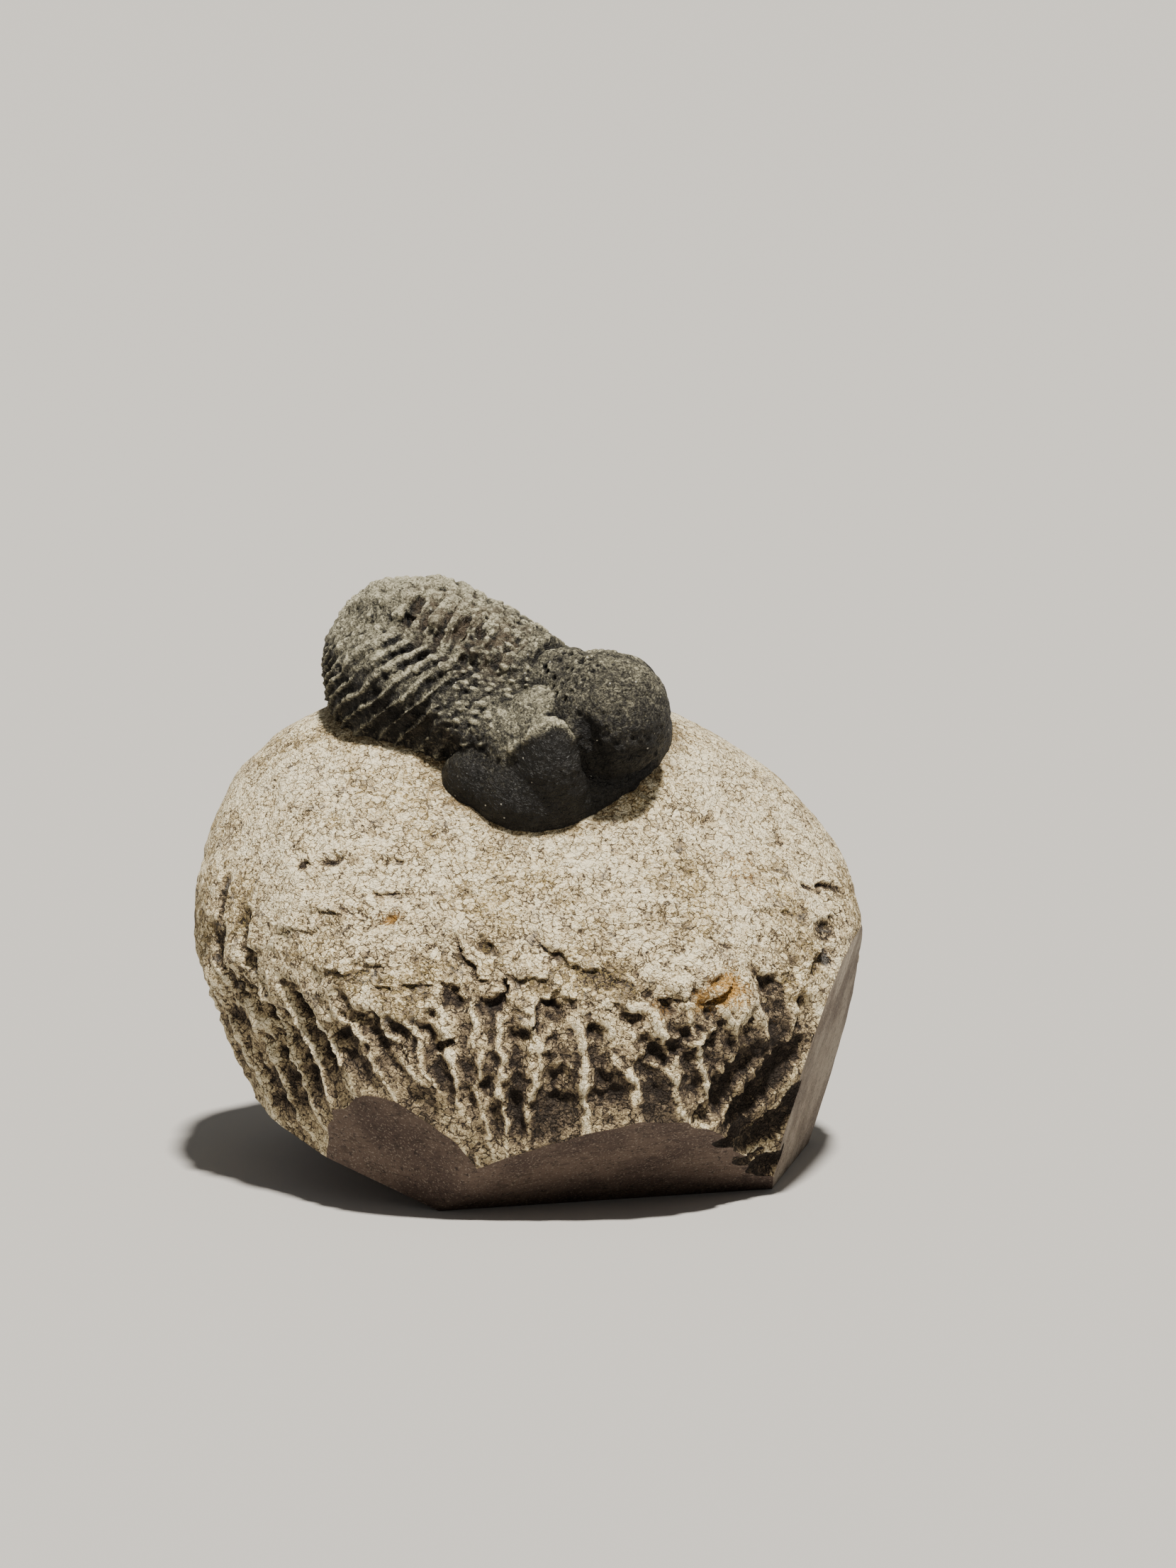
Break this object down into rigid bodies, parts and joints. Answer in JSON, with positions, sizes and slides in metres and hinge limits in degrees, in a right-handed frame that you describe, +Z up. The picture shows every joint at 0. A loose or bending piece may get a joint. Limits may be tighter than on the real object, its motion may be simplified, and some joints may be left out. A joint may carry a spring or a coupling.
{
  "type": "trilobite fossil",
  "caption": "Dark trilobite fossil bent over the scraped dome of its pale limestone matrix, with a point-chiselled flank and flat sawn faces below.",
  "frame": {"origin": "middle of the underside, at the level that the stone rests on", "axes": "+Z up, +X to the right as the front is looked at, front towards -Y, where the fossil's head lies low on the right"},
  "size_m": [0.0736, 0.065, 0.0653],
  "materials": {
    "limestone": "matt, pale cream-grey limestone, scraped, chiselled and sawn",
    "fossil_shell": "charcoal calcite shell with a low sheen and fine pits"
  },
  "bodies": {
    "root": {"matrix_stone": "limestone", "trilobite": "fossil_shell"}
  },
  "joints": []
}
